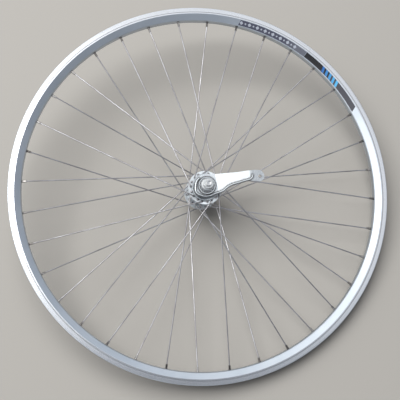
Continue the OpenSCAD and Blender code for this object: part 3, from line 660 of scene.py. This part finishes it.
def thread_skin(bm):
    """The outer skin: a grid wound as a helix, so its seam joins rows one pitch apart."""
    per_pitch = len(THREAD_PROFILE)
    rows = int(2 * (AXLE_HALF + ROWS_BEYOND) / THREAD_PITCH * per_pitch) + per_pitch
    row_step = THREAD_PITCH / per_pitch
    grid = {}
    for j in range(rows + per_pitch + 1):
        for i in range(AXLE_COLUMNS):
            z = -AXLE_HALF - START_BEYOND + (j + per_pitch * i / AXLE_COLUMNS) * row_step
            z = max(-AXLE_HALF, min(AXLE_HALF, z))
            radius = axle_radius(j % per_pitch, z)
            angle = 2 * math.pi * i / AXLE_COLUMNS
            grid[i, j] = bm.verts.new((radius * math.cos(angle), radius * math.sin(angle), z))
    for j in range(rows):
        for i in range(AXLE_COLUMNS):
            side, up = (i + 1, j) if i + 1 < AXLE_COLUMNS else (0, j + per_pitch)
            bm.faces.new((grid[i, j], grid[side, up], grid[side, up + 1], grid[i, j + 1]))
    bmesh.ops.remove_doubles(bm, verts=bm.verts, dist=1e-5)
    bmesh.ops.dissolve_degenerate(bm, dist=1e-5, edges=bm.edges)
    loose = [v for v in bm.verts if not v.link_faces]
    bmesh.ops.delete(bm, geom=loose, context="VERTS")


def open_ring(bm, z):
    """The vertices of the open edge at z, in order round the axle."""
    edges = [e for e in bm.edges if len(e.link_faces) == 1
             and all(abs(v.co.z - z) < 1e-4 for v in e.verts)]
    return sorted({v for e in edges for v in e.verts}, key=lambda v: math.atan2(v.co.y, v.co.x))


def close_drive_end(bm):
    ring = open_ring(bm, -AXLE_HALF)
    loops = [ring]
    for radius, z in BORE:
        loops.append([bm.verts.new((radius * v.co.x / math.hypot(v.co.x, v.co.y),
                                    radius * v.co.y / math.hypot(v.co.x, v.co.y), -z))
                      for v in ring])
    for loop, next_loop in zip(loops, loops[1:]):
        bridge(bm, loop, next_loop)
    bottom = bm.verts.new((0, 0, -BORE[-1][1]))
    for i in range(len(ring)):
        bm.faces.new((loops[-1][i], loops[-1][(i + 1) % len(ring)], bottom))


def close_arm_end(bm):
    ring = open_ring(bm, AXLE_HALF)
    lip = [bm.verts.new((v.co.x * HOLLOW_RATIO, v.co.y * HOLLOW_RATIO, AXLE_HALF))
           for v in ring]
    bottom = bm.verts.new((0, 0, AXLE_HALF - HOLLOW_DEPTH))
    for i in range(len(ring)):
        k = (i + 1) % len(ring)
        bm.faces.new((ring[i], ring[k], lip[k], lip[i]))
        bm.faces.new((lip[i], lip[k], bottom))


def cut_slot(bm):
    """Cuts the key's slot and returns the resulting mesh."""
    work = mesh_object("axle_work", bm)
    block = bmesh.new()
    bmesh.ops.create_cube(block, size=1.0)
    width, height, length = SLOT_SIZE
    for v in block.verts:
        v.co = Vector((v.co.x * width, v.co.y * height, v.co.z * length + SLOT_Z))
    tool = mesh_object("slot_work", block)
    cut = work.modifiers.new("slot", "BOOLEAN")
    cut.operation, cut.solver, cut.object = "DIFFERENCE", "EXACT", tool
    bpy.context.view_layer.update()
    depsgraph = bpy.context.evaluated_depsgraph_get()
    mesh = bpy.data.meshes.new_from_object(work.evaluated_get(depsgraph))
    for helper in (work, tool):
        bpy.data.objects.remove(helper)
    return mesh


def threaded_axle():
    """The axle with its thread as geometry: one closed skin with bore and slot."""
    bm = bmesh.new()
    thread_skin(bm)
    close_drive_end(bm)
    close_arm_end(bm)
    bmesh.ops.recalc_face_normals(bm, faces=bm.faces)
    mesh = cut_slot(bm)
    bm = bmesh.new()
    bm.from_mesh(mesh)
    for v in bm.verts:
        v.co = from_hub(*v.co)
    material = steel("rolled_thread_steel", (0.56, 0.57, 0.58), DUST_AND_SHADE,
                     rough=0.24, pitch=0.25, marks=0.35, grime_and_shade=0.35)
    axle = new_piece("axle_threaded", bm, material, "axle_group")
    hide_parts("axle")


threaded_axle()


# ------------------------------------------------------------------ clutch spring
def closing_spring():
    """A copy of the clutch spring's coil in place of the original piece. In the hub its outer
    end stays on the cone and its inner end moves with the selector's key; the copy does not
    bend.
    """
    outer_end_z, inner_end_z = -33.6, -21.5
    source = NODES["clutch_spring"]
    bpy.context.view_layer.update()
    mesh = source.data.copy()
    mesh.transform(source.matrix_world)
    coil = link_object("clutch_spring_coil", mesh)
    from_hub(0, 0, outer_end_z)
    from_hub(0, 0, inner_end_z)
    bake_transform(coil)
    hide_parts("clutch_spring")


closing_spring()

# ------------------------------------------------------------------ camera
TILT = Vector((-0.153940, 0.132596, 0))  # rotation vector from hub to camera axes, radians
WHEEL_IN_VIEW = Vector((4.70, 15.80, -1224.0825)) * MM  # wheel's centre in camera axes
tilt_angle = math.hypot(TILT_X := -0.153940, TILT_Y := 0.132596)
HUB_TO_CAMERA = Matrix.Rotation(
    tilt_angle, 3, Vector((TILT_X / tilt_angle, TILT_Y / tilt_angle, 0)))
HUB_TO_PART = Matrix(((1, 0, 0), (0, 0, -1), (0, 1, 0)))
CAMERA_TO_PART = HUB_TO_PART @ HUB_TO_CAMERA.transposed()
VIEW_RIGHT, VIEW_UP, VIEW_BACK = (
    CAMERA_TO_PART @ Vector(axis) for axis in ((1, 0, 0), (0, 1, 0), (0, 0, 1)))


def add_camera():
    data = bpy.data.cameras.new("camera")
    camera = link_object("camera", data)
    data.sensor_width = 36.0
    data.lens = 65.7846
    data.clip_start, data.clip_end = 0.05, 60.0
    placing = CAMERA_TO_PART.to_4x4()
    placing.translation = CAMERA_TO_PART @ (-WHEEL_IN_VIEW)
    camera.matrix_world = placing
    bpy.context.scene.camera = camera


add_camera()

# ------------------------------------------------------------------ pale floor
# The wheel rests on its axle's drive-side end and on the rim at the lower right.
REST_ANGLE, REST_SLOPE = math.radians(308), 0.2
FLOOR_GAP, FLOOR_HALF = 0.0005, 3.0  # metres
RESTING = ("rim", "axle", "right_axle_nut", "driver_dust_cap", "spokes_drive_side_outer")


def floor_material():
    """Diffuse from above, clear from below."""
    material = bpy.data.materials.new("pale_floor")
    net = NodeNet(material)
    diffuse = net.field("ShaderNodeBsdfDiffuse", {0: (0.160, 0.155, 0.146)})
    clear = net.field("ShaderNodeBsdfTransparent")
    below = net.field("ShaderNodeNewGeometry", output="Backfacing")
    shader = net.field("ShaderNodeMixShader", {0: below, 1: diffuse, 2: clear})
    net.node("ShaderNodeOutputMaterial", {0: shader})
    return material


def add_floor():
    normal = HUB_TO_PART @ Vector((-REST_SLOPE * math.cos(REST_ANGLE),
                                   -REST_SLOPE * math.sin(REST_ANGLE), 1)).normalized()
    lowest = min(v.co.dot(normal) for name in RESTING for v in NODES[name].data.vertices)
    level = lowest - FLOOR_GAP
    side_x = (VIEW_RIGHT - normal * VIEW_RIGHT.dot(normal)).normalized()
    side_y = normal.cross(side_x)
    bm = bmesh.new()
    bm.faces.new([
        bm.verts.new(normal * level + side_x * (x * FLOOR_HALF) + side_y * (y * FLOOR_HALF))
        for x, y in ((-1, -1), (1, -1), (1, 1), (-1, 1))])
    plane = mesh_object("floor", bm)
    plane.data.materials.append(floor_material())
    return plane


floor = add_floor()


# ------------------------------------------------------------------ lights
def window_light(name, right, up, back, width, height, power):
    """A soft lamp aimed at the wheel's centre, placed in view axes in metres from it."""
    data = bpy.data.lights.new(name, "AREA")
    data.shape = "RECTANGLE"
    data.size, data.size_y = width, height
    data.energy = power
    data.color = (1.0, 0.99, 0.97)
    lamp = link_object(name, data)
    place = VIEW_RIGHT * right + VIEW_UP * up + VIEW_BACK * back
    lamp.location = place
    lamp.rotation_mode = "QUATERNION"
    lamp.rotation_quaternion = place.to_track_quat("Z", "Y")
    return lamp


window_light("key_window", right=-0.66, up=0.93, back=2.78, width=1.1, height=0.45, power=9)
# A second, higher lamp lights only the floor and gives the wheel its soft shadow there
floor_lamp = window_light("floor_window", right=-0.80, up=1.56, back=2.44,
                          width=2.6, height=2.2, power=250)
lit_floor = bpy.data.collections.new("lit_floor")
lit_floor.objects.link(floor)
floor_lamp.light_linking.receiver_collection = lit_floor


# ------------------------------------------------------------------ room seen in reflections
def add_world():
    """A pale room in view axes, with a bright window band above and a bright left side."""
    world = bpy.data.worlds.new("studio")
    bpy.context.scene.world = world
    net = NodeNet(world)
    ramp = net.ramp
    ray = net.field("ShaderNodeTexCoord", output="Generated")
    right, up, back = (net.dot(ray, axis) for axis in (VIEW_RIGHT, VIEW_UP, VIEW_BACK))

    # Behind the camera: window, bright left side, and a dim patch where a viewer stands
    window = ramp(right, lo=0.24, hi=0.17) * (ramp(up, lo=0.23, hi=0.29)
                                              * ramp(up, lo=0.49, hi=0.40))
    patch_x = right - 0.22
    outside_patch = ramp(net.math("SQRT", patch_x * patch_x + up * up), lo=0.04, hi=0.30)
    left_side = ramp(up * 0.5 - right, lo=0.10, hi=0.42)
    # Strengths: lower room 0.42 and upper 1.0, patch 0.38 of the room, window 1.3, left 0.95
    room = 0.42 + ramp(up, lo=-0.15, hi=0.22) * 0.58
    behind = room * (0.38 + outside_patch * 0.62) + (window * 1.3 + left_side * 0.95)

    # Round the sides: brighter toward the left and slightly up, from 0.34 upward
    sideways = net.math("SQRT", net.math("MAXIMUM", 1.0 - back * back, 0.02))
    toward_light = (right * -0.93 + up * 0.37) / sideways
    around = 0.34 + (toward_light + 1.0) * 0.55

    share = ramp(back, lo=0.42, hi=0.80)
    strength = behind * share + around * (1.0 - share)
    strength = strength * (0.45 + ramp(back, lo=-0.35, hi=0.05) * 0.55)  # dimmer far side
    tint = net.mix(ramp(strength, lo=0.6, hi=1.4), (0.86, 0.90, 0.98), over=(1.0, 1.0, 1.0))

    # The camera itself sees a plain backdrop
    seen = net.field("ShaderNodeLightPath", output="Is Camera Ray")
    colour = net.mix(seen, tint, over=(0.62, 0.60, 0.57))
    power = net.mix_numbers(seen, strength, 1.0)
    background = net.field("ShaderNodeBackground", {0: colour, 1: power})
    net.node("ShaderNodeOutputWorld", {0: background})


add_world()
bpy.context.scene.view_settings.view_transform = "Standard"
